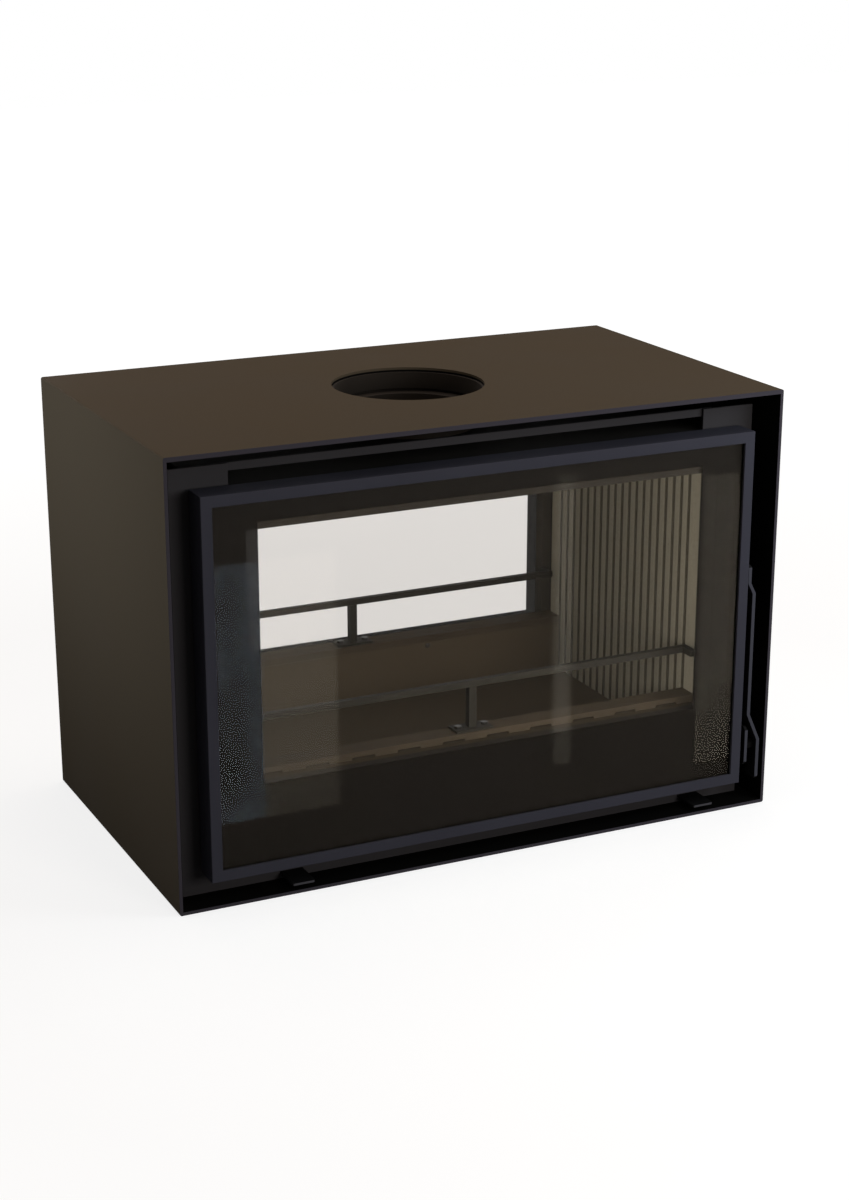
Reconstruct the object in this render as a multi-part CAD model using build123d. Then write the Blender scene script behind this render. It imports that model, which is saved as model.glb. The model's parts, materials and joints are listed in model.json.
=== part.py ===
from build123d import *
import os

# Double-sided wood-burning fireplace insert.
# Millimetres. Origin at the centre of the underside, +X right, +Y to the rear, +Z up.
# The rear half is the front half turned half a turn about the vertical axis.

# Outer casing, a folded steel tunnel open at the front and at the rear
casing_width = 800.0
casing_depth = 460.0
casing_height = 545.0
side_sheet = 4.0
top_sheet = 5.5
base_sheet = 4.0
casing_bend_radius = 2.5
flue_opening_diameter = 190.0

# Fascia, the upright sheet that closes the casing around the fire mouth
fascia_recess = 40.0
fascia_sheet = 4.0
fascia_side_gap = 14.0
fascia_top_gap = 19.0
outlet_side_margin = 71.0
outlet_rail_height = 9.5
outlet_rail_sheet = 4.0
outlet_rail_overlap = 15.0

# Firebox body, an inner tunnel that stands on two channels
firebox_side_space = 62.0
firebox_sheet = 4.0
firebox_floor_height = 59.0
firebox_top_space = 45.5
channel_inset = 184.0
channel_width = 40.0
channel_wall = 3.0
channel_end_setback = 16.0

# Flue connection
flue_opening_margin = 3.0
flue_socket_wall = 8.0
flue_socket_depth = 24.5
flue_groove_height = 3.5
flue_groove_depth = 4.0
flue_stop_width = 14.0
spigot_flange_thickness = 5.0
spigot_wall = 6.0

# Mouth frame, the thick frame that the door's rope seals against
mouth_side_inset = 27.0
mouth_sill_height = 141.0
mouth_sill_border = 29.0
mouth_lintel_drop = 44.5
mouth_lintel_border = 31.0
mouth_frame_depth = 31.0
mouth_frame_front_wall = 18.0
mouth_frame_side_wall = 4.0

# Fluted side liners
liner_thickness = 18.5
flute_pitch = 18.2
flute_end_margin = 22.0
flute_width = 7.6
flute_depth = 5.0
flute_draft = 0.8

# Hearth
hearth_plate_thickness = 10.0
hearth_edge_setback = 25.0
baffle_setback = 65.0
baffle_thickness = 15.0
baffle_top_space = 17.0
seat_clearance = 0.3

# Air bar on the sill, with the log guard screwed to it
air_bar_height = 9.5
air_bar_width = 28.3
air_bar_wall = 3.0
air_bar_roof = 4.5
air_bar_inset = 0.5
air_outlet_width = 30.0
air_outlet_height = 3.0
air_outlet_pitch = 60.0
air_outlet_end_margin = 20.0
guard_bar = 8.0
guard_rail_rise = 63.0
guard_setback = 10.0
guard_side_gap = 5.5
guard_post = 10.0
guard_foot_width = 50.0
guard_foot_depth = 24.0
guard_foot_thickness = 3.0
guard_screw_spacing = 36.0
guard_screw_diameter = 5.0
guard_screw_head_width = 8.0
guard_screw_head_height = 3.0
screw_clearance = 0.25

# Air slides under each door
slide_width = 29.0
slide_thickness = 2.6
slide_rise = 6.4
slide_travel = 35.0
slide_tail = 13.0
slide_left_inset = 67.0
slide_right_inset = 3.0
slide_corner_radius = 3.0
slide_clearance = 0.3
air_port_width = 14.0
air_port_setback = 14.0
air_port_side_offset = 5.0
valve_width = 38.0
valve_height = 14.0
valve_length = 60.0
valve_inlet_width = 10.0
valve_inlet_height = 5.0
air_duct_wall = 2.5

# Door, a shallow steel tray with a window
door_side_gap = 40.0
door_bottom = 34.5
door_top_space = 42.5
door_fascia_gap = 6.0
door_wall = 4.0
door_lip = 2.5
door_face_border = 13.5
door_edge_radius = 0.8
glass_thickness = 4.0
glass_overlap = 5.0
glass_tape = 1.0
glass_notch_shows = 2.5
glass_notch_below = 16.0
glass_notch_above = 37.5
glass_notch_chamfer = 3.5
rope_thickness = 3.5
rope_width = 14.0
rope_side_margin = 11.0
rope_sill_margin = 22.0
rope_lintel_margin = 25.5
clip_thickness = 2.0
clip_width = 20.0
clip_reach = 14.0
clip_depth = 18.5
clip_low_rise = 171.5
clip_high_drop = 143.0
clip_side_inset = 156.0
clip_screw_head_width = 5.0
clip_screw_head_height = 1.5
clip_screw_setback = 8.0

# Door hinges, hidden between the mouth frame and the door's side wall
hinge_axis_inset = 10.0
hinge_axis_setback = 13.0
hinge_low_rise = 105.5
hinge_high_drop = 67.0
knuckle_radius = 5.5
knuckle_height = 18.0
knuckle_gap = 0.3
hinge_pin_diameter = 6.0
hinge_running_clearance = 0.05
press_clearance = 0.02
hinge_arm_front = 5.5
hinge_arm_back = 1.0
hinge_pin_tail = 2.0

# Door lever on its square spindle, with the stop plate and the latch hook
lever_axis_depth = 15.3
lever_axis_rise = 45.5
lever_thickness = 4.5
lever_depth = 22.0
lever_rise = 245.0
lever_tab_height = 23.0
lever_upper_bend = 14.0
lever_arm_length = 162.0
lever_lower_bend = 36.0
lever_grip_length = 54.0
lever_arm_standoff = 7.5
lever_grip_standoff = 23.5
lever_end_chamfer = 3.0
spindle_width = 7.0
journal_diameter = 12.0
spindle_collar_width = 13.0
spindle_spacer_width = 12.0
spindle_nut_height = 4.0
stop_plate_thickness = 4.0
stop_plate_standoff = 6.0
stop_plate_above = 29.0
stop_plate_below = 23.0
stop_plate_front = 15.0
stop_plate_back = 7.0
plate_chamfer = 5.0
hook_thickness = 4.0
hook_wall_gap = 2.0
hook_below = 22.0
hook_above = 36.0
hook_front = 6.0
hook_back = 10.0
hook_shoulder = 4.0
hook_reach = 22.0
hook_nose_height = 10.0

# Catch on the fascia
catch_plate_thickness = 3.0
catch_width = 16.4
catch_below_strike = 28.0
catch_above_strike = 15.0
catch_block_depth = 12.0
catch_block_height = 12.7
catch_block_width = 11.0
catch_clearance = 0.3
catch_side_clearance = 0.9
catch_screw_head_width = 6.0
catch_screw_head_height = 2.0
catch_screw_inset = 7.0

# Casing and fascia planes
half_width = casing_width / 2
half_depth = casing_depth / 2
casing_ceiling = casing_height - top_sheet
side_inner = half_width - side_sheet
fascia_face = half_depth - fascia_recess
fascia_back = fascia_face - fascia_sheet
fascia_half_width = side_inner - fascia_side_gap
fascia_top = casing_ceiling - fascia_top_gap
outlet_half_width = fascia_half_width - outlet_side_margin

# Firebox and flue planes
firebox_outer = side_inner - firebox_side_space
firebox_half_width = firebox_outer - firebox_sheet
firebox_top_height = casing_ceiling - firebox_top_space
firebox_inner_floor = firebox_floor_height + firebox_sheet
firebox_inner_top = firebox_top_height - firebox_sheet
channel_centre = firebox_outer - channel_inset
flue_socket_radius = flue_opening_diameter / 2 - flue_opening_margin
flue_socket_outer = flue_socket_radius + flue_socket_wall
flue_socket_floor = casing_ceiling - flue_socket_depth
throat_radius = flue_socket_radius - flue_stop_width

# Mouth frame planes
mouth_half_width = firebox_half_width - mouth_side_inset
mouth_lintel_height = firebox_top_height - mouth_lintel_drop
mouth_frame_face = fascia_face + mouth_frame_depth
mouth_frame_rebate = mouth_frame_face - mouth_frame_front_wall
mouth_frame_outer = firebox_outer
mouth_frame_bottom = mouth_sill_height - mouth_sill_border
mouth_frame_top = mouth_lintel_height + mouth_lintel_border
rebate_half_width = mouth_frame_outer - mouth_frame_side_wall
rebate_bottom = mouth_frame_bottom + mouth_frame_side_wall
rebate_top = mouth_frame_top - mouth_frame_side_wall

# Lining, hearth, air bar and log guard planes
liner_face = firebox_half_width - liner_thickness
liner_top = firebox_inner_top - baffle_top_space - baffle_thickness
between_liners = liner_face - seat_clearance
fluted_length = 2 * (fascia_face - flute_end_margin)
flute_count = int((fluted_length - flute_width) // flute_pitch) + 1
hearth_edge_inner = fascia_face - hearth_edge_setback
baffle_half_depth = fascia_face - baffle_setback
air_bar_back = hearth_edge_inner + air_bar_inset
air_bar_front = air_bar_back + air_bar_width
air_bar_top = mouth_sill_height + air_bar_height
outlets_length = 2 * (between_liners - air_bar_wall - air_outlet_end_margin)
air_outlet_count = int((outlets_length - air_outlet_width) // air_outlet_pitch) + 1
guard_foot_top = air_bar_top + guard_foot_thickness
guard_rail_top = air_bar_top + guard_rail_rise
guard_offset = fascia_face - guard_setback
guard_half_width = liner_face - guard_side_gap

# Air slide planes
slide_underside = base_sheet + slide_rise
slide_top = slide_underside + slide_thickness
slide_left_centre = slide_left_inset - liner_face
slide_right_centre = liner_face - slide_right_inset
slide_centres = (slide_left_centre, slide_right_centre)
air_port_distance = fascia_face - air_port_setback
valve_bottom = base_sheet
valve_top = valve_bottom + valve_height

# Door planes, counted forward from the mouth frame that the rope seals against
door_half_width = half_width - door_side_gap
door_top = casing_ceiling - door_top_space
rope_back = mouth_frame_face + seat_clearance
glass_back = rope_back + rope_thickness
glass_front = glass_back + glass_thickness
lip_back = glass_front + glass_tape
door_face = lip_back + door_lip
door_back = fascia_face + door_fascia_gap
window_half_width = door_half_width - door_face_border
window_bottom = door_bottom + door_face_border
window_top = door_top - door_face_border
tray_half_width = door_half_width - door_wall
tray_bottom = door_bottom + door_wall
tray_top = door_top - door_wall
rope_outer = mouth_half_width + rope_side_margin + rope_width
rope_bottom = mouth_sill_height - rope_sill_margin
rope_top = mouth_lintel_height + rope_lintel_margin

# Hinge and lever axes
hinge_x = hinge_axis_inset - door_half_width
hinge_y = hinge_axis_setback - mouth_frame_face
hinge_levels = (door_bottom + hinge_low_rise, door_top - hinge_high_drop)
pin_radius = hinge_pin_diameter / 2
lever_axis_y = lever_axis_depth - door_face
lever_axis_z = door_bottom + lever_axis_rise
journal_radius = journal_diameter / 2
strike_top = lever_axis_z + hook_above - hook_nose_height - catch_clearance


def block(x0, x1, y0, y1, z0, z1):
    """A box between two opposite corners."""
    centre = ((x0 + x1) / 2, (y0 + y1) / 2, (z0 + z1) / 2)
    return Pos(*centre) * Box(x1 - x0, y1 - y0, z1 - z0)


def upright(x, y, z0, z1, radius):
    """A vertical round bar."""
    return Pos(x, y, (z0 + z1) / 2) * Cylinder(radius, z1 - z0)


def crossbar(x0, x1, y, z, radius):
    """A round bar along X."""
    return Pos((x0 + x1) / 2, y, z) * Rot(0, 90, 0) * Cylinder(radius, x1 - x0)


def hexagon(width, height):
    """A six-sided bar, its width measured across two flats."""
    return extrude(RegularPolygon(width / 2, 6, major_radius=False), amount=height)


def hex_upright(x, y, z0, z1, width):
    return Pos(x, y, z0) * hexagon(width, z1 - z0)


def hex_crossbar(x0, x1, y, z, width):
    return Pos(x0, y, z) * Rot(0, 90, 0) * hexagon(width, x1 - x0)


def hex_stud(x, y0, y1, z, width):
    return Pos(x, y0, z) * Rot(-90, 0, 0) * hexagon(width, y1 - y0)


def ring_xz(half_width, z0, z1, border, y0, y1):
    """A flat rectangular ring that stands in the XZ plane."""
    outer = block(-half_width, half_width, y0, y1, z0, z1)
    hole = block(-half_width + border, half_width - border, y0, y1, z0 + border, z1 - border)
    return outer - hole


def profile_xz(points, y0, y1):
    """An outline drawn in the XZ plane, extruded along Y."""
    outline = Polyline(*[(x, y0, z) for x, z in points], close=True)
    return extrude(make_face(outline), amount=y1 - y0, dir=(0, 1, 0))


def profile_yz(points, x0, x1):
    """An outline drawn in the YZ plane, extruded along X."""
    outline = Polyline(*[(x0, y, z) for y, z in points], close=True)
    return extrude(make_face(outline), amount=x1 - x0, dir=(1, 0, 0))


def profile_xy(points, z0, z1):
    """An outline drawn in the XY plane, extruded along Z."""
    outline = Polyline(*[(x, y, z0) for x, y in points], close=True)
    return extrude(make_face(outline), amount=z1 - z0, dir=(0, 0, 1))


def to_rear(piece):
    """The same piece on the rear side, turned half a turn about Z."""
    return Rot(0, 0, 180) * piece


def group(solids):
    """Separate solids that share one file."""
    return Compound(children=list(solids))


# Casing and fascia

def make_casing():
    outer = block(-half_width, half_width, -half_depth, half_depth, 0, casing_height)
    outer = fillet(outer.edges().filter_by(Axis.Y), casing_bend_radius)
    tunnel = block(-side_inner, side_inner, -casing_depth, casing_depth, base_sheet, casing_ceiling)
    flue_hole = upright(0, 0, casing_ceiling, casing_height, flue_opening_diameter / 2)
    return outer - tunnel - flue_hole


def slide_slot(centre, y0, y1):
    """The flat passage that an air slide runs in."""
    half = slide_width / 2 + slide_clearance
    return block(centre - half, centre + half, y0, y1,
                 slide_underside - slide_clearance, slide_top + slide_clearance)


def make_fascia():
    sheet = block(-fascia_half_width, fascia_half_width, -fascia_face, -fascia_back, base_sheet, fascia_top)
    opening_half = rebate_half_width + seat_clearance
    mouth = block(-opening_half, opening_half, -fascia_face, -fascia_back, rebate_bottom, rebate_top)
    outlet = block(-outlet_half_width, outlet_half_width, -fascia_face, -fascia_back,
                   firebox_top_height, fascia_top)
    fascia = sheet - mouth - outlet
    for centre in slide_centres:
        fascia -= slide_slot(centre, -fascia_face, -fascia_back)
    return fascia


def make_outlet_rail():
    reach = outlet_half_width + outlet_rail_overlap
    return block(-reach, reach, -fascia_back, -fascia_back + outlet_rail_sheet,
                 fascia_top - outlet_rail_height, fascia_top)


# Firebox body and flue connection

def port_x(centre):
    """Where an air port stands beside the centre of its slide."""
    return centre - air_port_side_offset


def air_port(centre, y, z0, z1, wall=0.0):
    """The square air way over a slide, or with a wall the duct around it."""
    half = air_port_width / 2 + wall
    x = port_x(centre)
    return block(x - half, x + half, y - half, y + half, z0, z1)


def make_firebox_shell():
    outer = block(-firebox_outer, firebox_outer, -fascia_back, fascia_back,
                  firebox_floor_height, firebox_top_height)
    tunnel = block(-firebox_half_width, firebox_half_width, -fascia_back, fascia_back,
                   firebox_inner_floor, firebox_inner_top)
    shell = outer - tunnel - upright(0, 0, firebox_inner_top, firebox_top_height, throat_radius)
    for centre in slide_centres:
        port = air_port(centre, -air_port_distance, firebox_floor_height, firebox_inner_floor)
        shell = shell - port - to_rear(port)
    return shell


def make_support_channels():
    reach = fascia_back - channel_end_setback
    channels = []
    for side in (-1, 1):
        centre = side * channel_centre
        outer = block(centre - channel_width / 2, centre + channel_width / 2, -reach, reach,
                      base_sheet, firebox_floor_height)
        hollow = Pos(side * channel_wall, 0, 0) * block(
            centre - channel_width / 2, centre + channel_width / 2, -reach, reach,
            base_sheet + channel_wall, firebox_floor_height - channel_wall)
        channels.append(outer - hollow)
    return group(channels)


def make_flue_spigot():
    flange_bottom = flue_socket_floor - spigot_flange_thickness
    tube = upright(0, 0, firebox_top_height, flange_bottom, throat_radius + spigot_wall)
    flange = upright(0, 0, flange_bottom, flue_socket_floor, flue_socket_outer)
    bore = upright(0, 0, firebox_top_height, flue_socket_floor, throat_radius)
    return tube + flange - bore


def make_flue_collar():
    groove_top = flue_socket_floor + flue_groove_height
    outer = upright(0, 0, flue_socket_floor, casing_ceiling, flue_socket_outer)
    bore = upright(0, 0, groove_top, casing_ceiling, flue_socket_radius)
    groove = upright(0, 0, flue_socket_floor, groove_top, flue_socket_radius + flue_groove_depth)
    return outer - bore - groove


# Mouth frame and lining

def make_mouth_frame():
    body = block(-mouth_frame_outer, mouth_frame_outer, -mouth_frame_face, -fascia_face,
                 mouth_frame_bottom, mouth_frame_top)
    opening = block(-mouth_half_width, mouth_half_width, -mouth_frame_face, -fascia_face,
                    mouth_sill_height, mouth_lintel_height)
    rebate = block(-rebate_half_width, rebate_half_width, -mouth_frame_rebate, -fascia_face,
                   rebate_bottom, rebate_top)
    return body - opening - rebate


def make_right_liner():
    points = [(firebox_half_width, -fascia_face), (liner_face, -fascia_face)]
    for index in range(flute_count):
        centre = (index - (flute_count - 1) / 2) * flute_pitch
        mouth = flute_width / 2
        floor = mouth - flute_draft
        points += [(liner_face, centre - mouth), (liner_face + flute_depth, centre - floor),
                   (liner_face + flute_depth, centre + floor), (liner_face, centre + mouth)]
    points += [(liner_face, fascia_face), (firebox_half_width, fascia_face)]
    liner = profile_xy(points, firebox_inner_floor, liner_top)
    for front, back in ((-fascia_face, -fascia_back), (fascia_back, fascia_face)):
        liner -= block(liner_face, firebox_half_width, front, back,
                       firebox_inner_floor, rebate_bottom + seat_clearance)
    return liner


def make_hearth_plate():
    reach = hearth_edge_inner - seat_clearance
    return block(-between_liners, between_liners, -reach, reach,
                 firebox_inner_floor, firebox_inner_floor + hearth_plate_thickness)


def make_hearth_edge():
    tongue_bottom = rebate_bottom + seat_clearance
    outline = [(-hearth_edge_inner, firebox_inner_floor), (-fascia_back, firebox_inner_floor),
               (-fascia_back, tongue_bottom), (-mouth_frame_rebate, tongue_bottom),
               (-mouth_frame_rebate, mouth_sill_height), (-hearth_edge_inner, mouth_sill_height)]
    edge = profile_yz(outline, -between_liners, between_liners)
    for centre in slide_centres:
        edge -= air_port(centre, -air_port_distance, firebox_inner_floor, mouth_sill_height)
    return edge


def make_baffle_plate():
    reach = firebox_half_width - seat_clearance
    return block(-reach, reach, -baffle_half_depth, baffle_half_depth,
                 liner_top, liner_top + baffle_thickness)


# Air bar and log guard

def guard_screw_positions():
    """The two screws in the guard's foot, on the front side."""
    foot_centre = -guard_offset
    return [(side * guard_screw_spacing / 2, foot_centre) for side in (-1, 1)]


def guard_screw_holes(z0, z1):
    radius = guard_screw_diameter / 2 + screw_clearance
    return [upright(x, y, z0, z1, radius) for x, y in guard_screw_positions()]


def make_air_bar():
    bar = block(-between_liners, between_liners, -air_bar_front, -air_bar_back,
                mouth_sill_height, air_bar_top)
    bar -= block(-between_liners + air_bar_wall, between_liners - air_bar_wall,
                 -air_bar_front + air_bar_wall, -air_bar_back - air_bar_wall,
                 mouth_sill_height, air_bar_top - air_bar_roof)
    for index in range(air_outlet_count):
        x = (index - (air_outlet_count - 1) / 2) * air_outlet_pitch
        bar -= block(x - air_outlet_width / 2, x + air_outlet_width / 2,
                     -air_bar_front, -air_bar_front + air_bar_wall,
                     mouth_sill_height, mouth_sill_height + air_outlet_height)
    for hole in guard_screw_holes(air_bar_top - air_bar_roof, air_bar_top):
        bar -= hole
    return bar


def make_log_guard():
    near = -guard_offset - guard_bar / 2
    far = -guard_offset + guard_bar / 2
    rail_bottom = guard_rail_top - guard_bar
    guard = block(-guard_half_width, guard_half_width, near, far, rail_bottom, guard_rail_top)
    for side in (-1, 1):
        x0, x1 = sorted((side * guard_half_width, side * (guard_half_width - guard_bar)))
        guard += block(x0, x1, -mouth_frame_rebate, near, rail_bottom, guard_rail_top)
    foot = block(-guard_foot_width / 2, guard_foot_width / 2,
                 -guard_offset - guard_foot_depth / 2, -guard_offset + guard_foot_depth / 2,
                 air_bar_top, guard_foot_top)
    post = block(-guard_post / 2, guard_post / 2, -guard_offset - guard_post / 2,
                 -guard_offset + guard_post / 2, guard_foot_top, rail_bottom)
    guard = guard + foot + post
    for hole in guard_screw_holes(air_bar_top, guard_foot_top):
        guard -= hole
    return guard


def make_guard_screws():
    screws = []
    for x, y in guard_screw_positions():
        shank = upright(x, y, air_bar_top - air_bar_roof, guard_foot_top, guard_screw_diameter / 2)
        head = hex_upright(x, y, guard_foot_top, guard_foot_top + guard_screw_head_height,
                           guard_screw_head_width)
        screws.append(shank + head)
    return group(screws + [to_rear(screw) for screw in screws])


# Air slides and their valves

def make_air_slide(centre):
    half = slide_width / 2
    hole_y = -air_port_distance + slide_travel
    strip = block(centre - half, centre + half, -half_depth, hole_y + slide_tail,
                  slide_underside, slide_top)
    corners = strip.edges().filter_by(Axis.Z).group_by(Axis.Y)[0]
    strip = fillet(corners, slide_corner_radius)
    return strip - air_port(centre, hole_y, slide_underside, slide_top)


def make_air_valves():
    valves = []
    for centre in slide_centres:
        y = -air_port_distance
        body = block(centre - valve_width / 2, centre + valve_width / 2,
                     -fascia_back, -fascia_back + valve_length, valve_bottom, valve_top)
        body += air_port(centre, y, valve_top, firebox_floor_height, air_duct_wall)
        body -= slide_slot(centre, -fascia_back, -fascia_back + valve_length)
        body -= air_port(centre, y, valve_bottom, firebox_floor_height)
        body -= block(centre - valve_width / 2, centre + valve_width / 2,
                      y - valve_inlet_width / 2, y + valve_inlet_width / 2,
                      valve_bottom, valve_bottom + valve_inlet_height)
        valves.append(body)
    return group(valves)


# Door

def make_door_frame():
    body = block(-door_half_width, door_half_width, -door_face, -door_back, door_bottom, door_top)
    face = body.faces().sort_by(Axis.Y)[0]
    body = fillet(face.edges(), door_edge_radius)
    tray = block(-tray_half_width, tray_half_width, -lip_back, -door_back, tray_bottom, tray_top)
    window = block(-window_half_width, window_half_width, -door_face, -lip_back,
                   window_bottom, window_top)
    bore = crossbar(tray_half_width, door_half_width, lever_axis_y, lever_axis_z,
                    journal_radius + hinge_running_clearance)
    return body - tray - window - bore


def make_glass():
    reach = window_half_width + glass_overlap
    pane = block(-reach, reach, -glass_front, -glass_back,
                 window_bottom - glass_overlap, window_top + glass_overlap)
    notch = block(window_half_width - glass_notch_shows, reach, -glass_front, -glass_back,
                  lever_axis_z - glass_notch_below, lever_axis_z + glass_notch_above)
    corners = notch.edges().filter_by(Axis.Y).group_by(Axis.X)[0]
    return pane - chamfer(corners, glass_notch_chamfer)


def make_glass_tape():
    return ring_xz(window_half_width + glass_overlap, window_bottom - glass_overlap,
                   window_top + glass_overlap, glass_overlap, -lip_back, -glass_front)


def make_door_rope():
    return ring_xz(rope_outer, rope_bottom, rope_top, rope_width, -glass_back, -rope_back)


def clip_places():
    """Where each clip stands: a point on the tray's inner wall and its turn about Y."""
    middle = (tray_bottom + tray_top) / 2
    places = []
    for level in (tray_bottom + clip_low_rise, tray_top - clip_high_drop):
        places.append((tray_half_width, level - middle, 0))
        places.append((tray_half_width, middle - level, 180))
    half_height = (tray_top - tray_bottom) / 2
    for side in (-1, 1):
        x = side * (tray_half_width - clip_side_inset)
        places.append((half_height, x, 90))
        places.append((half_height, x, -90))
    return middle, places


def place_clip(solid, middle, turn):
    return Pos(0, 0, middle) * Rot(0, turn, 0) * solid


def make_glass_clips():
    middle, places = clip_places()
    back = -glass_back + seat_clearance
    clips = []
    for wall, along, turn in places:
        z0, z1 = along - clip_width / 2, along + clip_width / 2
        pad = block(wall - clip_reach, wall, back, back + clip_thickness, z0, z1)
        leg = block(wall - clip_thickness, wall, back, back + clip_depth, z0, z1)
        clips.append(place_clip(pad + leg, middle, turn))
    return group(clips)


def make_clip_screws():
    middle, places = clip_places()
    y = -glass_back + seat_clearance + clip_depth - clip_screw_setback
    screws = []
    for wall, along, turn in places:
        seat = wall - clip_thickness
        head = hex_crossbar(seat - clip_screw_head_height, seat, y, along, clip_screw_head_width)
        screws.append(place_clip(head, middle, turn))
    return group(screws)


# Hinges

def make_hinge_brackets():
    brackets = []
    for level in hinge_levels:
        low = level - knuckle_height
        bracket = upright(hinge_x, hinge_y, low, level, knuckle_radius)
        bracket += block(hinge_x, -mouth_frame_outer, hinge_y - hinge_arm_front,
                         hinge_y + hinge_arm_back, low, level)
        brackets.append(bracket - upright(hinge_x, hinge_y, low, level, pin_radius + press_clearance))
    return group(brackets)


def make_hinge_pins():
    pins = [upright(hinge_x, hinge_y, level - knuckle_height,
                    level + knuckle_height + hinge_pin_tail, pin_radius) for level in hinge_levels]
    return group(pins)


def make_hinge_knuckles():
    knuckles = []
    for level in hinge_levels:
        low = level + knuckle_gap
        high = level + knuckle_height
        knuckle = upright(hinge_x, hinge_y, low, high, knuckle_radius)
        knuckle += block(-tray_half_width, hinge_x, hinge_y - knuckle_radius,
                         hinge_y + knuckle_radius, low, high)
        knuckles.append(knuckle - upright(hinge_x, hinge_y, low, high,
                                          pin_radius + hinge_running_clearance))
    return group(knuckles)


# Lever, spindle, latch hook and catch

def square_spindle(x0, x1, clearance=0.0):
    """The square bar that turns the lever's pieces together, or the hole for it."""
    half = spindle_width / 2 + clearance
    return block(x0, x1, lever_axis_y - half, lever_axis_y + half,
                 lever_axis_z - half, lever_axis_z + half)


def spindle_collar(x0, x1, width):
    """A six-sided collar on the spindle."""
    return hex_crossbar(x0, x1, lever_axis_y, lever_axis_z, width)


def make_handle():
    tab = door_half_width + seat_clearance
    arm = door_half_width + lever_arm_standoff
    grip = door_half_width + lever_grip_standoff
    top = lever_axis_z + lever_rise
    tab_bottom = top - lever_tab_height
    arm_top = tab_bottom - lever_upper_bend
    arm_bottom = arm_top - lever_arm_length
    grip_top = arm_bottom - lever_lower_bend
    inner = [(tab, top), (tab, tab_bottom), (arm, arm_top), (arm, arm_bottom),
             (grip, grip_top), (grip, grip_top - lever_grip_length)]
    outer = [(x + lever_thickness, z) for x, z in reversed(inner)]
    front = -door_face + seat_clearance
    bar = profile_xz(inner + outer, front, front + lever_depth)
    ends = bar.edges().filter_by(Axis.X).group_by(Axis.Z)
    bar = chamfer(ends[0] + ends[-1], lever_end_chamfer)
    return bar - square_spindle(grip, grip + lever_thickness, press_clearance)


def hook_seat():
    """The two faces of the latch hook along X."""
    outer = tray_half_width - hook_wall_gap
    return outer - hook_thickness, outer


def stop_plate_seat():
    """The two faces of the stop plate along X."""
    inner = door_half_width + stop_plate_standoff
    return inner, inner + stop_plate_thickness


def make_latch_shaft():
    hook_inner, hook_outer = hook_seat()
    plate_inner, plate_outer = stop_plate_seat()
    grip_inner = door_half_width + lever_grip_standoff
    journal_inner = tray_half_width - seat_clearance
    journal_outer = door_half_width + seat_clearance
    shaft = square_spindle(hook_inner, grip_inner + lever_thickness)
    shaft += spindle_collar(hook_inner - spindle_nut_height, hook_inner, spindle_collar_width)
    shaft += spindle_collar(hook_outer, journal_inner, spindle_collar_width)
    shaft += crossbar(journal_inner, journal_outer, lever_axis_y, lever_axis_z, journal_radius)
    shaft += spindle_collar(journal_outer, plate_inner, spindle_collar_width)
    shaft += spindle_collar(plate_outer, grip_inner, spindle_spacer_width)
    return shaft


def make_stop_plate():
    front = lever_axis_y - stop_plate_front
    back = lever_axis_y + stop_plate_back
    low = lever_axis_z - stop_plate_below
    high = lever_axis_z + stop_plate_above
    cut = plate_chamfer
    outline = [(front, low + cut), (front + cut, low), (back - cut, low), (back, low + cut),
               (back, high - cut), (back - cut, high), (front + cut, high), (front, high - cut)]
    inner, outer = stop_plate_seat()
    plate = profile_yz(outline, inner, outer)
    return plate - square_spindle(inner, outer, press_clearance)


def make_latch_hook():
    low = lever_axis_z - hook_below
    high = lever_axis_z + hook_above
    nose = high - hook_nose_height
    front = lever_axis_y - hook_front
    back = lever_axis_y + hook_back
    tip = lever_axis_y + hook_reach
    cut = plate_chamfer
    outline = [(front, low + cut), (front + cut, low), (back - cut, low), (back, low + cut),
               (back, nose), (tip, nose), (tip, high - cut), (tip - cut, high),
               (back, high), (back - cut, high - cut), (front, lever_axis_z + hook_shoulder)]
    inner, outer = hook_seat()
    hook = profile_yz(outline, inner, outer)
    return hook - square_spindle(inner, outer, press_clearance)


def catch_screw_levels():
    return (strike_top - catch_below_strike + catch_screw_inset,
            strike_top + catch_above_strike - catch_screw_inset)


def make_catch():
    plate_back = -fascia_face - catch_plate_thickness
    right = tray_half_width - catch_side_clearance
    plate = block(right - catch_width, right, plate_back, -fascia_face,
                  strike_top - catch_below_strike, strike_top + catch_above_strike)
    strike = block(right - catch_block_width, right, plate_back - catch_block_depth, plate_back,
                   strike_top - catch_block_height, strike_top)
    return plate + strike


def make_catch_screws():
    centre = tray_half_width - catch_side_clearance - catch_width / 2
    seat = -fascia_face - catch_plate_thickness
    return group([hex_stud(centre, seat - catch_screw_head_height, seat, level, catch_screw_head_width)
                  for level in catch_screw_levels()])


# Every front piece has a twin on the rear side
paired = {
    "fascia": make_fascia(),
    "outlet_rail": make_outlet_rail(),
    "mouth_frame": make_mouth_frame(),
    "hearth_edge": make_hearth_edge(),
    "air_bar": make_air_bar(),
    "log_guard": make_log_guard(),
    "air_valves": make_air_valves(),
    "left_air_slide": make_air_slide(slide_left_centre),
    "right_air_slide": make_air_slide(slide_right_centre),
    "hinge_brackets": make_hinge_brackets(),
    "hinge_pins": make_hinge_pins(),
    "catch": make_catch(),
    "catch_screws": make_catch_screws(),
    "door_frame": make_door_frame(),
    "glass": make_glass(),
    "glass_tape": make_glass_tape(),
    "glass_clips": make_glass_clips(),
    "clip_screws": make_clip_screws(),
    "door_rope": make_door_rope(),
    "hinge_knuckles": make_hinge_knuckles(),
    "handle": make_handle(),
    "latch_shaft": make_latch_shaft(),
    "stop_plate": make_stop_plate(),
    "latch_hook": make_latch_hook(),
}

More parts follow.
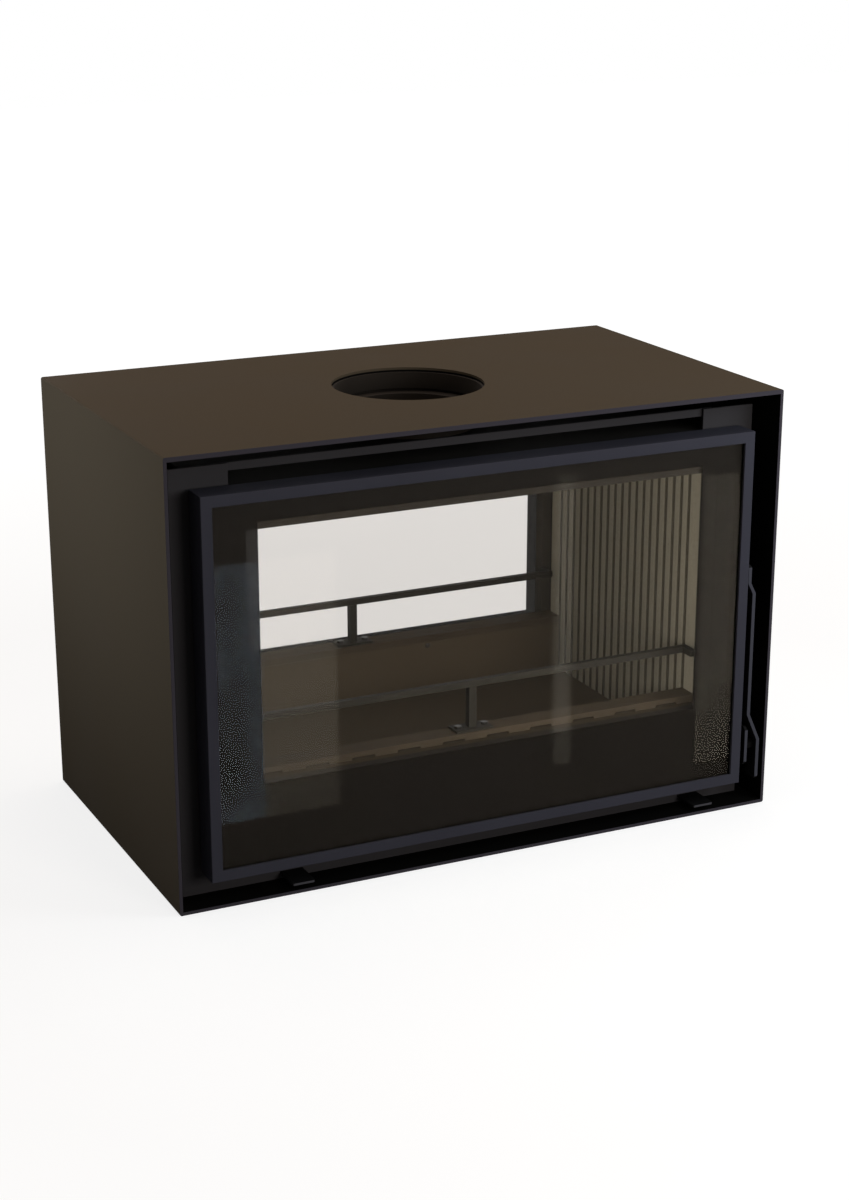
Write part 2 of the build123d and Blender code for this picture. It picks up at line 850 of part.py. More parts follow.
right_liner = make_right_liner()
nodes = {
    "casing": make_casing(),
    "firebox_shell": make_firebox_shell(),
    "support_channels": make_support_channels(),
    "flue_spigot": make_flue_spigot(),
    "flue_collar": make_flue_collar(),
    "right_liner": right_liner,
    "left_liner": to_rear(right_liner),
    "hearth_plate": make_hearth_plate(),
    "baffle_plate": make_baffle_plate(),
    "guard_screws": make_guard_screws(),
}
for name, piece in paired.items():
    nodes["front_" + name] = piece
    nodes["rear_" + name] = to_rear(piece)

os.makedirs("parts", exist_ok=True)
for name, piece in nodes.items():
    export_step(piece, "parts/" + name + ".step")
    print(name, len(piece.solids()), round(piece.volume))
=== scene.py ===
import json
from math import cos, pi, radians, sin
from typing import NamedTuple

import bmesh
import bpy
from mathutils import Matrix, Vector


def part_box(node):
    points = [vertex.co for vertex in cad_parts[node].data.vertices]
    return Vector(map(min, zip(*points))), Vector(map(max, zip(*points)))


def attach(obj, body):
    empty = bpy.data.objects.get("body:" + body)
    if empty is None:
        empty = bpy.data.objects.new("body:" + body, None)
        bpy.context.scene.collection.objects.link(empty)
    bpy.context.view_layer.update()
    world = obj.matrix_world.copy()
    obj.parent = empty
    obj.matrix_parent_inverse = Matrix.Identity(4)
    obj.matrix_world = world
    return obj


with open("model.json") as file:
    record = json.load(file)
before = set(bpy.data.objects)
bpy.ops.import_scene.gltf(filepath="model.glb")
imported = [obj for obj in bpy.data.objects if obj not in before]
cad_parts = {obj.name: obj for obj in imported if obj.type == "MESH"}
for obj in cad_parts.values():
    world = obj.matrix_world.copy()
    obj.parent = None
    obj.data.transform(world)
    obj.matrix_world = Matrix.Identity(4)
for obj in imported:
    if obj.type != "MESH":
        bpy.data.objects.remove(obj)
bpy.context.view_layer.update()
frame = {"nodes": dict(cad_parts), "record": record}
nodes = frame["nodes"]

MM = 0.001

# Camera, solved from the casing's corners in the photograph of 849 x 1200 pixels
PHOTO_HEIGHT = 1200
CAMERA_PLACE = Vector((-1.1771, -2.5174, 1.1480))
CAMERA_AZIMUTH = radians(25.483)
CAMERA_ELEVATION = radians(18.803)
FOCAL_PIXELS = 2283.2
PRINCIPAL_ROW = 645.7
CAMERA_NEAREST = 0.05
# In millimetres, as Blender's cameras have it
SENSOR = 36.0

# Paint, metal and lining colours, written as they look in plain light
CASING_COLOUR = (0.262, 0.230, 0.188)
# Near-black painted shade for the inside of the casing's tunnel
CASING_PAINTED_SHADE_COLOUR = (0.045, 0.043, 0.040)
# Bluish-grey painted light for the casing's front and back rims
CASING_RIM_PAINTED_LIGHT_COLOUR = (0.235, 0.222, 0.245)
FASCIA_COLOUR = (0.208, 0.200, 0.206)
DOOR_COLOUR = (0.210, 0.208, 0.238)
HANDLE_COLOUR = (0.055, 0.053, 0.055)
# Bluish-grey painted light on the handles' front faces
HANDLE_PAINTED_LIGHT_COLOUR = (0.235, 0.235, 0.262)
SHELL_COLOUR = (0.105, 0.098, 0.090)
FRAME_COLOUR = (0.265, 0.242, 0.212)
GUARD_COLOUR = (0.200, 0.188, 0.165)
SLIDE_COLOUR = (0.060, 0.058, 0.060)
# Bluish-grey painted light on the air slides' front faces
SLIDE_PAINTED_LIGHT_COLOUR = (0.260, 0.255, 0.270)
BAR_COLOUR = (0.305, 0.265, 0.215)
FLUE_COLOUR = (0.128, 0.108, 0.090)
FASTENER_COLOUR = (0.300, 0.290, 0.280)
LINER_COLOUR = (0.690, 0.665, 0.598)
# Darker colour of the liner's grooves
LINER_GROOVE_COLOUR = (0.345, 0.320, 0.270)
HEARTH_COLOUR = (0.345, 0.300, 0.240)
TAPE_COLOUR = (0.140, 0.140, 0.140)
ROPE_COLOUR = (0.215, 0.210, 0.200)
PRINT_COLOUR = (0.100, 0.080, 0.056)

# Planes where a finish changes, measured from the object's middle or, for heights, its base
CASING_INNER_FACE = 0.398
CASING_CEILING = 0.542
CASING_FLOOR = 0.002
CASING_RIM = 0.2295
HANDLE_RIM = 0.2315
LINER_FACE = 0.3120
FINISH_BLEND = 0.0003


class Surface(NamedTuple):
    """How a surface varies. Scales are those of noise textures, lengths are in metres."""
    cloud_scale: float
    cloud_detail: float
    roughness_swing: float
    grain_scale: float
    grain_detail: float
    grain_height: float
    edge_radius: float


PAINTED = Surface(cloud_scale=7.0, cloud_detail=3.0, roughness_swing=0.05, grain_scale=900.0,
                  grain_detail=2.0, grain_height=0.00004, edge_radius=0.0008)
CAST = Surface(cloud_scale=12.0, cloud_detail=5.0, roughness_swing=0.08, grain_scale=450.0,
               grain_detail=3.0, grain_height=0.00006, edge_radius=0.0008)
PLATED = Surface(cloud_scale=60.0, cloud_detail=4.0, roughness_swing=0.06, grain_scale=1400.0,
                 grain_detail=2.0, grain_height=0.00002, edge_radius=0.0004)
EDGE_SAMPLES = 4

# How far each tone wanders to either side of its middle, as a share of it
PLAIN_TONE_SWING = 0.06
CASING_TONE_SWING = 0.04
FRONT_LIT_TONE_SWING = 0.10
CAST_TONE_SWING = 0.22
PLATED_TONE_SWING = 0.12
BOARD_TONE_SWING = 0.14
WEAVE_TONE_SWING = 0.3
PRINT_TONE_SWING = 0.1

CASING_ROUGHNESS = 0.60
CASING_SPECULAR = 0.003
# Black paint of the handles and slides, whose front faces carry painted light
FRONT_LIT_ROUGHNESS = 0.55
FRONT_LIT_SPECULAR = 0.03
CAST_SPECULAR = 0.08
PLATED_METALLIC = 0.85

BOARD_FLECK_SCALE = 380.0
BOARD_FLECK_DETAIL = 6.0
BOARD_FLECK_CONTRAST = 0.7
BOARD_FLECK_HEIGHT = 0.00025
BOARD_EDGE = 0.0008
BOARD_ROUGHNESS = 0.92
BOARD_SPECULAR = 0.15

TAPE_STRAND = 0.004
ROPE_STRAND = 0.003
WEAVE_DISTORTION = 1.5
WEAVE_HEIGHT = 0.0005
WEAVE_ROUGHNESS = 0.95
WEAVE_SPECULAR = 0.1

# Glass: what one face lets through, how much it mirrors, and what shows past the print
PANE_FACE_TINT = (0.922, 0.916, 0.909)
PANE_INDEX = 1.14
PANE_MIRROR = (1.0, 0.94, 0.84)
PANE_ROUGHNESS = 0.03
PRINT_SHOWS = 0.155
PRINT_CLOUD_SCALE = 9.0
PRINT_CLOUD_DETAIL = 2.0
PRINT_ROUGHNESS = 0.6
PRINT_SPECULAR = 0.1

# The range of a texture's factor that is spread over a whole change of tone or roughness
NOISE_LOW = 0.3
NOISE_HIGH = 0.7

# How much of its finer detail a noise texture keeps, where nothing else is said
NOISE_CONTRAST = 0.55

# Sockets of a Mix node that mixes colours
MIX_FACTOR = 0
MIX_FIRST = 6
MIX_SECOND = 7
MIX_RESULT = 2


def linear(colour):
    """A colour written as it looks, as the linear values that shaders take (the sRGB formula)."""
    return tuple(c / 12.92 if c <= 0.04045 else ((c + 0.055) / 1.055) ** 2.4 for c in colour)


def rgba(colour):
    return (*linear(colour), 1.0)


# Node helpers

def new_material(name):
    """A fresh node material, its tree and its Principled shader."""
    material = bpy.data.materials.new(name)
    material.use_nodes = True
    tree = material.node_tree
    return material, tree, tree.nodes["Principled BSDF"]


def feed(tree, value, socket):
    """Gives a socket its value, which is a number or another socket."""
    if isinstance(value, (int, float)):
        socket.default_value = value
    else:
        tree.links.new(value, socket)


def own_place(tree):
    """The piece's own coordinates in metres, which ride with the piece."""
    return tree.nodes.new("ShaderNodeTexCoord").outputs["Object"]


def own_coordinate(tree, axis):
    parts = tree.nodes.new("ShaderNodeSeparateXYZ")
    tree.links.new(own_place(tree), parts.inputs[0])
    return parts.outputs[axis]


def noise(tree, scale, detail, contrast=NOISE_CONTRAST):
    texture = tree.nodes.new("ShaderNodeTexNoise")
    texture.inputs["Scale"].default_value = scale
    texture.inputs["Detail"].default_value = detail
    texture.inputs["Roughness"].default_value = contrast
    tree.links.new(own_place(tree), texture.inputs["Vector"])
    return texture.outputs["Fac"]


def math(tree, operation, *values):
    """One Math node. The values are sockets or numbers."""
    node = tree.nodes.new("ShaderNodeMath")
    node.operation = operation
    for value, socket in zip(values, node.inputs):
        feed(tree, value, socket)
    return node.outputs[0]


def spread(tree, factor, low, high, from_low=NOISE_LOW, from_high=NOISE_HIGH):
    """Maps a factor to a range, held at its ends."""
    node = tree.nodes.new("ShaderNodeMapRange")
    node.inputs["From Min"].default_value = from_low
    node.inputs["From Max"].default_value = from_high
    node.inputs["To Min"].default_value = low
    node.inputs["To Max"].default_value = high
    tree.links.new(factor, node.inputs["Value"])
    return node.outputs["Result"]


def beyond(tree, axis, edge):
    """1 where the piece's own coordinate lies further out than edge, on either side."""
    distance = math(tree, "ABSOLUTE", own_coordinate(tree, axis))
    return spread(tree, distance, 0.0, 1.0, edge - FINISH_BLEND, edge + FINISH_BLEND)


def below(tree, axis, edge):
    """1 where the piece's own coordinate is under edge."""
    return spread(tree, own_coordinate(tree, axis), 1.0, 0.0, edge - FINISH_BLEND, edge + FINISH_BLEND)


def mixed(tree, factor, first, second):
    """A colour between first and second, which are colours or sockets."""
    mix = tree.nodes.new("ShaderNodeMix")
    mix.data_type = "RGBA"
    for value, socket in ((first, mix.inputs[MIX_FIRST]), (second, mix.inputs[MIX_SECOND])):
        if isinstance(value, tuple):
            socket.default_value = rgba(value)
        else:
            tree.links.new(value, socket)
    tree.links.new(factor, mix.inputs[MIX_FACTOR])
    return mix.outputs[MIX_RESULT]


def wandering(tree, colour, texture, swing):
    """A colour that wanders lighter and darker around its middle."""
    ramp = tree.nodes.new("ShaderNodeValToRGB")
    dark, light = ramp.color_ramp.elements
    middle = linear(colour)
    dark.position = NOISE_LOW
    light.position = NOISE_HIGH
    dark.color = (*[c * (1 - swing) for c in middle], 1.0)
    light.color = (*[min(1.0, c * (1 + swing)) for c in middle], 1.0)
    tree.links.new(texture, ramp.inputs["Fac"])
    return ramp.outputs["Color"]


def grain_bump(tree, shader, texture, height, edge_radius=0.0):
    """Fine surface grain, on edges that are slightly rounded where a radius is given."""
    bump = tree.nodes.new("ShaderNodeBump")
    bump.inputs["Strength"].default_value = 1.0
    bump.inputs["Distance"].default_value = height
    tree.links.new(texture, bump.inputs["Height"])
    if edge_radius:
        edge = tree.nodes.new("ShaderNodeBevel")
        edge.samples = EDGE_SAMPLES
        edge.inputs["Radius"].default_value = edge_radius
        tree.links.new(edge.outputs["Normal"], bump.inputs["Normal"])
    tree.links.new(bump.outputs["Normal"], shader.inputs["Normal"])


def end_in_mix(tree, factor, first, second):
    """Ends a material in a mix of two shaders."""
    mix = tree.nodes.new("ShaderNodeMixShader")
    feed(tree, factor, mix.inputs["Fac"])
    tree.links.new(first.outputs["BSDF"], mix.inputs[1])
    tree.links.new(second.outputs["BSDF"], mix.inputs[2])
    tree.links.new(mix.outputs["Shader"], tree.nodes["Material Output"].inputs["Surface"])


# Materials

def clouded(name, colour, tone_swing, roughness, surface):
    """A surface whose tone and roughness change slowly, with fine grain and softened edges."""
    material, tree, shader = new_material(name)
    clouds = noise(tree, surface.cloud_scale, surface.cloud_detail)
    tone = wandering(tree, colour, clouds, tone_swing)
    swing = surface.roughness_swing
    rough = spread(tree, clouds, roughness - swing, roughness + swing)
    grain = noise(tree, surface.grain_scale, surface.grain_detail)
    tree.links.new(tone, shader.inputs["Base Color"])
    tree.links.new(rough, shader.inputs["Roughness"])
    grain_bump(tree, shader, grain, surface.grain_height, surface.edge_radius)
    return material, tree, shader, tone


def stove_paint(name, colour, tone_swing, roughness, specular):
    """Baked stove paint: fine orange-peel grain and slow changes of tone."""
    material, tree, shader, tone = clouded(name, colour, tone_swing, roughness, PAINTED)
    shader.inputs["Specular IOR Level"].default_value = specular
    return material, tree, shader, tone


def plain_paint(name, colour, roughness, specular):
    return stove_paint(name, colour, PLAIN_TONE_SWING, roughness, specular)[0]


def casing_paint(name):
    """Warm paint outside, near-black painted shade inside the tunnel, bluish-grey painted light on the
    front and back rims.
    """
    material, tree, shader, tone = stove_paint(
        name, CASING_COLOUR, CASING_TONE_SWING, CASING_ROUGHNESS, CASING_SPECULAR)
    top_or_base = math(tree, "MAXIMUM",
                       beyond(tree, "Z", CASING_CEILING), below(tree, "Z", CASING_FLOOR))
    outside = math(tree, "MAXIMUM", beyond(tree, "X", CASING_INNER_FACE), top_or_base)
    # Painted shade: inside the tunnel the paint is coloured near black, as shade makes it look
    walls_with_painted_shade = mixed(tree, outside, CASING_PAINTED_SHADE_COLOUR, tone)
    # Painted light: the front and back rims are coloured bluish grey, as the cool front light makes
    # them look
    whole = mixed(tree, beyond(tree, "Y", CASING_RIM), walls_with_painted_shade, CASING_RIM_PAINTED_LIGHT_COLOUR)
    tree.links.new(whole, shader.inputs["Base Color"])
    return material


def front_lit_paint(name, colour, lit_face_colour, edge_place):
    """Black paint with painted light: the frontmost face is coloured lighter, as if lit from the front.
    """
    material, tree, shader, tone = stove_paint(
        name, colour, FRONT_LIT_TONE_SWING, FRONT_LIT_ROUGHNESS, FRONT_LIT_SPECULAR)
    # Painted light: beyond edge_place the front face takes the lighter colour
    whole = mixed(tree, beyond(tree, "Y", edge_place), tone, lit_face_colour)
    tree.links.new(whole, shader.inputs["Base Color"])
    return material


def cast_surface(name, colour, roughness):
    """Sooty cast iron or heavy plate: coarser grain, no shine."""
    material, _, shader, _ = clouded(name, colour, CAST_TONE_SWING, roughness, CAST)
    shader.inputs["Specular IOR Level"].default_value = CAST_SPECULAR
    return material


def bare_metal(name, colour, roughness):
    """Dull plated steel."""
    material, _, shader, _ = clouded(name, colour, PLATED_TONE_SWING, roughness, PLATED)
    shader.inputs["Metallic"].default_value = PLATED_METALLIC
    return material


def pressed_board(name, colour, groove_colour=None):
    """Vermiculite or fire clay: flecked, soft and without shine, darker in its grooves where a groove
    colour is given.
    """
    material, tree, shader = new_material(name)
    flecks = noise(tree, BOARD_FLECK_SCALE, BOARD_FLECK_DETAIL, BOARD_FLECK_CONTRAST)
    tone = wandering(tree, colour, flecks, BOARD_TONE_SWING)
    if groove_colour:
        # The grooves, further out than the liner's face, are coloured darker
        tone = mixed(tree, beyond(tree, "X", LINER_FACE), tone, groove_colour)
    tree.links.new(tone, shader.inputs["Base Color"])
    grain_bump(tree, shader, flecks, BOARD_FLECK_HEIGHT, BOARD_EDGE)
    shader.inputs["Roughness"].default_value = BOARD_ROUGHNESS
    shader.inputs["Specular IOR Level"].default_value = BOARD_SPECULAR
    return material


def woven(name, colour, strand):
    """Glass rope and tape: small diagonal strands, finer where strand is smaller."""
    material, tree, shader = new_material(name)
    strands = tree.nodes.new("ShaderNodeTexWave")
    strands.bands_direction = "DIAGONAL"
    strands.inputs["Scale"].default_value = 1.0 / strand
    strands.inputs["Distortion"].default_value = WEAVE_DISTORTION
    tree.links.new(own_place(tree), strands.inputs["Vector"])
    weave = strands.outputs["Fac"]
    tree.links.new(wandering(tree, colour, weave, WEAVE_TONE_SWING), shader.inputs["Base Color"])
    grain_bump(tree, shader, weave, WEAVE_HEIGHT)
    shader.inputs["Roughness"].default_value = WEAVE_ROUGHNESS
    shader.inputs["Specular IOR Level"].default_value = WEAVE_SPECULAR
    return material


def pane_glass(name):
    """Clear coated pane: each face lets most light through and mirrors a little."""
    material, tree, shader = new_material(name)
    tree.nodes.remove(shader)
    clear = tree.nodes.new("ShaderNodeBsdfTransparent")
    clear.inputs["Color"].default_value = (*PANE_FACE_TINT, 1.0)
    mirror = tree.nodes.new("ShaderNodeBsdfGlossy")
    mirror.inputs["Roughness"].default_value = PANE_ROUGHNESS
    mirror.inputs["Color"].default_value = (*PANE_MIRROR, 1.0)
    fresnel = tree.nodes.new("ShaderNodeFresnel")
    fresnel.inputs["IOR"].default_value = PANE_INDEX
    end_in_mix(tree, fresnel.outputs["Fac"], clear, mirror)
    return material


def printed_border(name):
    """Dark ceramic print on the inner face of the pane, not quite opaque."""
    material, tree, shader = new_material(name)
    clouds = noise(tree, PRINT_CLOUD_SCALE, PRINT_CLOUD_DETAIL)
    tree.links.new(wandering(tree, PRINT_COLOUR, clouds, PRINT_TONE_SWING), shader.inputs["Base Color"])
    shader.inputs["Roughness"].default_value = PRINT_ROUGHNESS
    shader.inputs["Specular IOR Level"].default_value = PRINT_SPECULAR
    clear = tree.nodes.new("ShaderNodeBsdfTransparent")
    end_in_mix(tree, 1.0 - PRINT_SHOWS, clear, shader)
    return material


MATERIALS = {
    "casing_paint": casing_paint("casing_paint"),
    "front_paint": plain_paint("front_paint", FASCIA_COLOUR, roughness=0.60, specular=0.02),
    "door_paint": plain_paint("door_paint", DOOR_COLOUR, roughness=0.50, specular=0.03),
    # Handles and slides: painted light on their front faces
    "handle_paint": front_lit_paint("handle_paint", HANDLE_COLOUR, HANDLE_PAINTED_LIGHT_COLOUR, HANDLE_RIM),
    "firebox_steel": cast_surface("firebox_steel", SHELL_COLOUR, roughness=0.75),
    "cast_iron": cast_surface("cast_iron", FRAME_COLOUR, roughness=0.70),
    "guard_steel": cast_surface("guard_steel", GUARD_COLOUR, roughness=0.55),
    "slide_steel": front_lit_paint("slide_steel", SLIDE_COLOUR, SLIDE_PAINTED_LIGHT_COLOUR, CASING_RIM),
    "fastener": bare_metal("fastener", FASTENER_COLOUR, roughness=0.40),
    "liner": pressed_board("liner", LINER_COLOUR, LINER_GROOVE_COLOUR),
    "hearth": pressed_board("hearth", HEARTH_COLOUR),
    "glass": pane_glass("glass"),
    "tape": woven("tape", TAPE_COLOUR, TAPE_STRAND),
    "rope": woven("rope", ROPE_COLOUR, ROPE_STRAND),
}
BAR_STEEL = cast_surface("bar_steel", BAR_COLOUR, roughness=0.70)
FLUE_STEEL = cast_surface("flue_steel", FLUE_COLOUR, roughness=0.75)
NODE_MATERIALS = {
    "front_air_bar": BAR_STEEL,
    "rear_air_bar": BAR_STEEL,
    "flue_collar": FLUE_STEEL,
    "flue_spigot": FLUE_STEEL,
}
PRINT = printed_border("printed_border")


def dress_frame():
    """Gives every CAD node its own finish, or else the finish of its material slot."""
    for part in frame["record"]["subparts"]:
        finish = NODE_MATERIALS.get(part["node"], MATERIALS[part["material_slot"]])
        for slot in nodes[part["node"]].material_slots:
            slot.material = finish


# Pieces made here

def add_piece(name, mesh, material, body):
    """Links a new piece and lets it ride on a body."""
    piece = bpy.data.objects.new(name, mesh)
    bpy.context.collection.objects.link(piece)
    piece.data.materials.append(material)
    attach(piece, body)


# The border on one pane, each area as its left, right, lower and upper edge
PRINT_CLEAR = (-290.5 * MM, 290.5 * MM, 144.5 * MM, 459.0 * MM)
PRINT_REACH = (-351.0 * MM, 351.0 * MM, 43.5 * MM, 488.0 * MM)
PRINT_NOTCH = (343.4 * MM, 351.0 * MM, 63.4 * MM, 118.1 * MM)
PRINT_NEAR = 0.05 * MM
PRINT_FAR = 0.15 * MM


def plate_mesh(name, reach, holes, y0, y1):
    """A flat plate in the XZ plane with rectangular holes, each given as (x0, x1, z0, z1)."""
    xs = sorted({side for area in (reach, *holes) for side in area[:2]})
    zs = sorted({side for area in (reach, *holes) for side in area[2:]})
    cells = {(i, k) for i in range(len(xs) - 1) for k in range(len(zs) - 1)
             if not any(x0 <= xs[i] < x1 and z0 <= zs[k] < z1 for x0, x1, z0, z1 in holes)}
    shape = bmesh.new()
    corners = {}

    def corner(i, y, k):
        if (i, y, k) not in corners:
            corners[i, y, k] = shape.verts.new((xs[i], y, zs[k]))
        return corners[i, y, k]

    for i, k in cells:
        outline = [(i, k), (i + 1, k), (i + 1, k + 1), (i, k + 1)]
        shape.faces.new([corner(a, y0, c) for a, c in outline])
        shape.faces.new([corner(a, y1, c) for a, c in reversed(outline)])
        for side, beside in enumerate(((i, k - 1), (i + 1, k), (i, k + 1), (i - 1, k))):
            if beside not in cells:
                (a, c), (b, d) = outline[side], outline[(side + 1) % 4]
                shape.faces.new((corner(b, y0, d), corner(a, y0, c),
                                 corner(a, y1, c), corner(b, y1, d)))
    mesh = bpy.data.meshes.new(name)
    shape.to_mesh(mesh)
    shape.free()
    return mesh


def add_print(side):
    """The dark border, baked into the inner face of one pane and clear of the pane's notch."""
    inner_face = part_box("front_glass")[1][1]
    mesh = plate_mesh(side + "_print", PRINT_REACH, (PRINT_CLEAR, PRINT_NOTCH),
                      inner_face - PRINT_FAR, inner_face - PRINT_NEAR)
    if side == "rear":
        mesh.transform(Matrix.Rotation(pi, 4, "Z"))
    add_piece(side + "_print", mesh, PRINT, side + "_door")


EDGE_BOLT_OFFSET = 106.0 * MM
EDGE_BOLT_DROP = 5.0 * MM
EDGE_BOLT_RADIUS = 3.5 * MM
EDGE_BOLT_HEIGHT = 1.8 * MM
EDGE_BOLT_SIDES = 16
EDGE_BOLT_RINGS = 4


def dome_mesh(name, radius, height, sides, rings):
    """A low domed screw head that stands up along +Z."""
    shape = bmesh.new()
    levels = []
    for ring in range(rings):
        angle = pi / 2 * ring / rings
        levels.append([shape.verts.new((radius * cos(angle) * cos(2 * pi * i / sides),
                                        radius * cos(angle) * sin(2 * pi * i / sides),
                                        height * sin(angle))) for i in range(sides)])
    top = shape.verts.new((0.0, 0.0, height))
    for lower, upper in zip(levels, levels[1:]):
        for i in range(sides):
            j = (i + 1) % sides
            shape.faces.new((lower[i], lower[j], upper[j], upper[i]))
    for i in range(sides):
        shape.faces.new((levels[-1][i], levels[-1][(i + 1) % sides], top))
    shape.faces.new(list(reversed(levels[0])))
    for face in shape.faces:
        face.smooth = True
    mesh = bpy.data.meshes.new(name)
    shape.to_mesh(mesh)
    shape.free()
    return mesh


def add_edge_bolt(side):
    """The screw head on the pit side of one hearth edge."""
    low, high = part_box(side + "_hearth_edge")
    turn = 1 if side == "rear" else -1
    face = low[1] if side == "rear" else high[1]
    mesh = dome_mesh(side + "_edge_bolt", EDGE_BOLT_RADIUS, EDGE_BOLT_HEIGHT,
                     EDGE_BOLT_SIDES, EDGE_BOLT_RINGS)
    place = Matrix.Translation((turn * EDGE_BOLT_OFFSET, face, high[2] - EDGE_BOLT_DROP))
    mesh.transform(place @ Matrix.Rotation(turn * pi / 2, 4, "X"))
    add_piece(side + "_edge_bolt", mesh, MATERIALS["fastener"], "firebox")


# Floor, light and camera
FLOOR_HALF = 9.0
FLOOR_DROP = 0.2 * MM
FLOOR_TONE = 0.25
FLOOR_ROUGHNESS = 0.9
FLOOR_SPECULAR = 0.0
FLOOR_GLOW_NEAR = 0.80
FLOOR_GLOW_FAR = 0.98
FLOOR_FADE = (0.9, 2.6)


def rays_that_see(tree):
    """1 for rays that look at the backdrop: from the camera, off gloss or through glass."""
    path = tree.nodes.new("ShaderNodeLightPath")
    bent = math(tree, "MAXIMUM", path.outputs["Is Glossy Ray"], path.outputs["Is Transmission Ray"])
    return math(tree, "MAXIMUM", path.outputs["Is Camera Ray"], bent)


def backdrop_material():
    """Floor that shows nearly white to those rays and keeps the shadow."""
    material, tree, shader = new_material("floor")
    shader.inputs["Base Color"].default_value = (FLOOR_TONE, FLOOR_TONE, FLOOR_TONE, 1.0)
    shader.inputs["Roughness"].default_value = FLOOR_ROUGHNESS
    shader.inputs["Specular IOR Level"].default_value = FLOOR_SPECULAR
    glow = tree.nodes.new("ShaderNodeEmission")
    both = tree.nodes.new("ShaderNodeAddShader")
    reach = tree.nodes.new("ShaderNodeVectorMath")
    reach.operation = "LENGTH"
    tree.links.new(own_place(tree), reach.inputs[0])
    level = spread(tree, reach.outputs["Value"], FLOOR_GLOW_NEAR, FLOOR_GLOW_FAR, *FLOOR_FADE)
    tree.links.new(math(tree, "MULTIPLY", rays_that_see(tree), level), glow.inputs["Strength"])
    tree.links.new(shader.outputs["BSDF"], both.inputs[0])
    tree.links.new(glow.outputs["Emission"], both.inputs[1])
    tree.links.new(both.outputs["Shader"], tree.nodes["Material Output"].inputs["Surface"])
    return material


def add_floor():
    mesh = bpy.data.meshes.new("floor")
    corners = [(x * FLOOR_HALF, y * FLOOR_HALF, -FLOOR_DROP)
               for x, y in ((-1, -1), (1, -1), (1, 1), (-1, 1))]
    mesh.from_pydata(corners, [], [(0, 1, 2, 3)])
    floor = bpy.data.objects.new("floor", mesh)
    floor.data.materials.append(backdrop_material())
    bpy.context.collection.objects.link(floor)


WORLD_WHITE = 1.0
WORLD_LIGHT = 0.12


def add_world():
    """White to the camera, in gloss and through glass, and dimmer where it lights."""
    world = bpy.data.worlds.new("studio")
    bpy.context.scene.world = world
    world.use_nodes = True
    tree = world.node_tree
    background = tree.nodes["Background"]
    background.inputs["Color"].default_value = (1.0, 1.0, 1.0, 1.0)
    level = spread(tree, rays_that_see(tree), WORLD_LIGHT, WORLD_WHITE, 0.0, 1.0)
    tree.links.new(level, background.inputs["Strength"])


# Softboxes: name, place, aim, width, height, watts and colour
SOFTBOXES = (
    ("overhead", (0.2, 0.4, 2.6), (0.0, 0.0, 0.3), 2.4, 2.0, 41.0, (1.0, 0.87, 0.77)),
    ("front", (0.5, -2.8, 0.9), (0.1, -0.2, 0.3), 1.0, 0.8, 26.0, (1.0, 0.97, 0.93)),
    ("front_right", (0.9, -0.85, 0.8), (0.3, -0.2, 0.4), 0.5, 0.5, 7.0, (0.86, 0.94, 1.0)),
    ("left", (-1.1, 0.15, 0.42), (-0.4, 0.1, 1.3), 0.6, 0.15, 7.4, (0.84, 0.93, 1.0)),
)

# A softbox that lights only the nodes named as the inside of the firebox
FIREBOX_LIGHT = (
    "firebox", (0.0, -0.56, 0.34), (0.31, -0.16, 0.30), 0.20, 0.20, 1.15, (1.0, 0.97, 0.90))
FIREBOX_INSIDE = (
    "left_liner", "right_liner", "hearth_plate", "rear_hearth_edge", "front_air_bar",
    "rear_air_bar", "rear_mouth_frame", "front_log_guard", "rear_log_guard")

# Two softboxes behind the object. Both light the rear nodes that BACK_INSIDE doesn't name, and
# the first one lights the casing too
BACK_LIGHT = (
    "back", (-0.3, 2.8, 0.9), (-0.1, 0.2, 0.3), 1.0, 0.8, 26.0, (1.0, 0.97, 0.93))
BACK_SIDE_LIGHT = (
    "back_side", (-0.9, 0.85, 0.8), (-0.3, 0.2, 0.4), 0.5, 0.5, 7.0, (0.86, 0.94, 1.0))
BACK_INSIDE = ("rear_hearth_edge", "rear_air_bar", "rear_log_guard")

# Upright strips of light that only the front pane mirrors, placed for the photograph's view and
# stronger from other sides: name, middle, width, height, radiance and colour
WINDOW_LIGHTS = (
    ("window_left", (-0.266, -0.369, 0.205), 0.061, 0.33, 4.6, (0.62, 0.84, 1.2)),
    ("curtain_left", (-0.186, -0.369, 0.205), 0.099, 0.33, 2.6, (1.0, 0.95, 0.88)),
    ("curtain_gap", (0.179, -0.369, 0.235), 0.026, 0.39, 2.6, (1.0, 0.98, 0.94)),
    ("curtain_right", (0.420, -0.369, 0.204), 0.075, 0.40, 3.4, (1.0, 0.95, 0.87)),
)


def rectangle_light(name, width, height, watts, colour):
    light = bpy.data.lights.new(name, "AREA")
    light.shape = "RECTANGLE"
    light.size = width
    light.size_y = height
    light.energy = watts
    light.color = colour
    lamp = bpy.data.objects.new(name, light)
    lamp.visible_camera = False
    bpy.context.collection.objects.link(lamp)
    return lamp


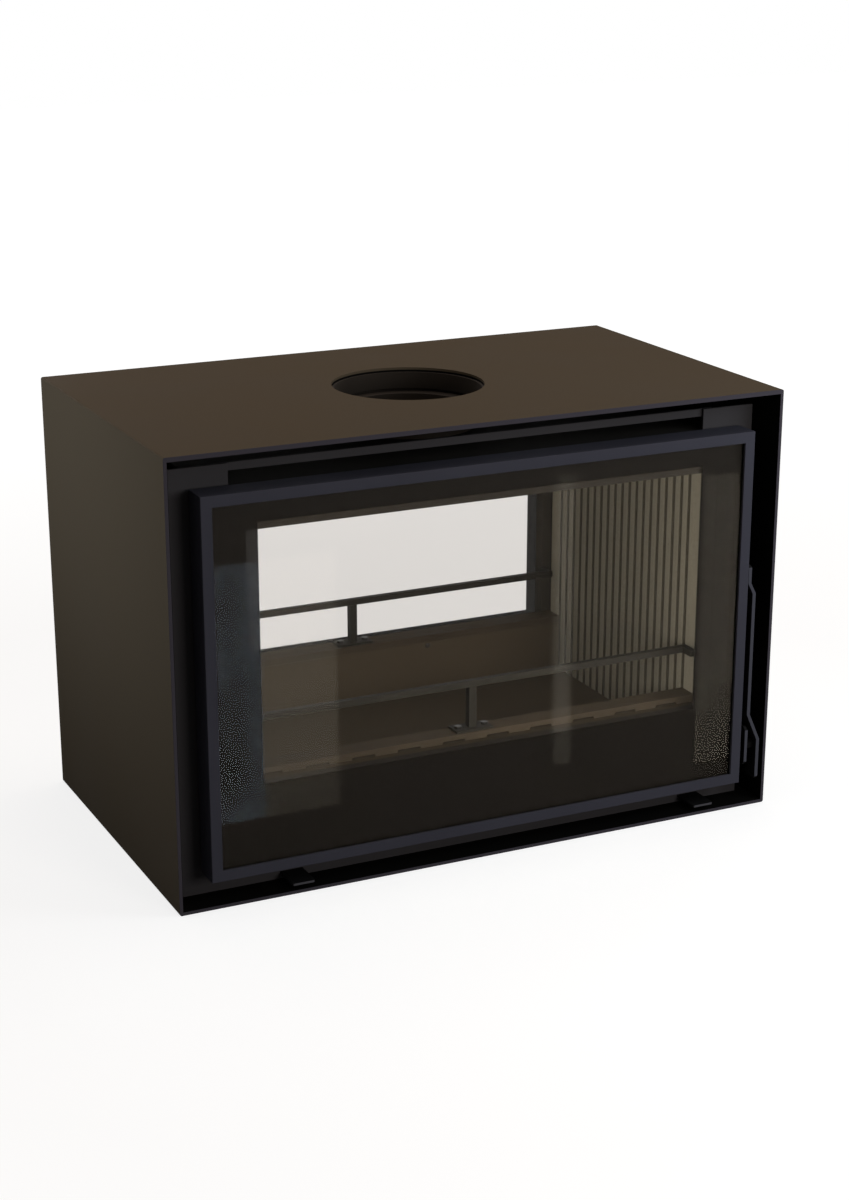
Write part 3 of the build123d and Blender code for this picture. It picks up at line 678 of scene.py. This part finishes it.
def keep_to(lamp, names):
    """Lets a lamp light only the named CAD nodes."""
    lit = bpy.data.collections.new(lamp.name + "_lit")
    for name in names:
        lit.objects.link(nodes[name])
    lamp.light_linking.receiver_collection = lit


def add_softbox(name, place, aim, width, height, watts, colour):
    lamp = rectangle_light(name, width, height, watts, colour)
    lamp.location = place
    lamp.rotation_euler = (Vector(aim) - Vector(place)).to_track_quat("-Z", "Y").to_euler()
    return lamp


def add_window_light(name, middle, width, height, radiance, colour):
    """A lit rectangle that faces the front pane."""
    lamp = rectangle_light(name, width, height, radiance * pi * width * height, colour)
    lamp.location = middle
    lamp.rotation_euler = (pi / 2, 0.0, 0.0)
    keep_to(lamp, ("front_glass",))


def add_lights():
    """All lamps, with what each of them lights."""
    for softbox in SOFTBOXES:
        add_softbox(*softbox)
    keep_to(add_softbox(*FIREBOX_LIGHT), FIREBOX_INSIDE)
    rear_nodes = [name for name in nodes if name.startswith("rear_") and name not in BACK_INSIDE]
    keep_to(add_softbox(*BACK_LIGHT), ["casing", *rear_nodes])
    keep_to(add_softbox(*BACK_SIDE_LIGHT), rear_nodes)
    for window_light in WINDOW_LIGHTS:
        add_window_light(*window_light)


def add_camera():
    """The photograph's own view."""
    view = bpy.data.cameras.new("camera")
    view.sensor_fit = "AUTO"
    view.sensor_width = SENSOR
    view.lens = FOCAL_PIXELS / PHOTO_HEIGHT * SENSOR
    view.shift_y = (PRINCIPAL_ROW - PHOTO_HEIGHT / 2) / PHOTO_HEIGHT
    view.clip_start = CAMERA_NEAREST
    camera = bpy.data.objects.new("camera", view)
    heading = Matrix.Rotation(-CAMERA_AZIMUTH, 3, "Z")
    tilt = Matrix.Rotation(radians(90) - CAMERA_ELEVATION, 3, "X")
    camera.matrix_world = Matrix.Translation(CAMERA_PLACE) @ (heading @ tilt).to_4x4()
    bpy.context.collection.objects.link(camera)
    bpy.context.scene.camera = camera


dress_frame()
for side in ("front", "rear"):
    add_print(side)
    add_edge_bolt(side)
add_floor()
add_world()
add_lights()
add_camera()
bpy.context.scene.view_settings.view_transform = "Standard"
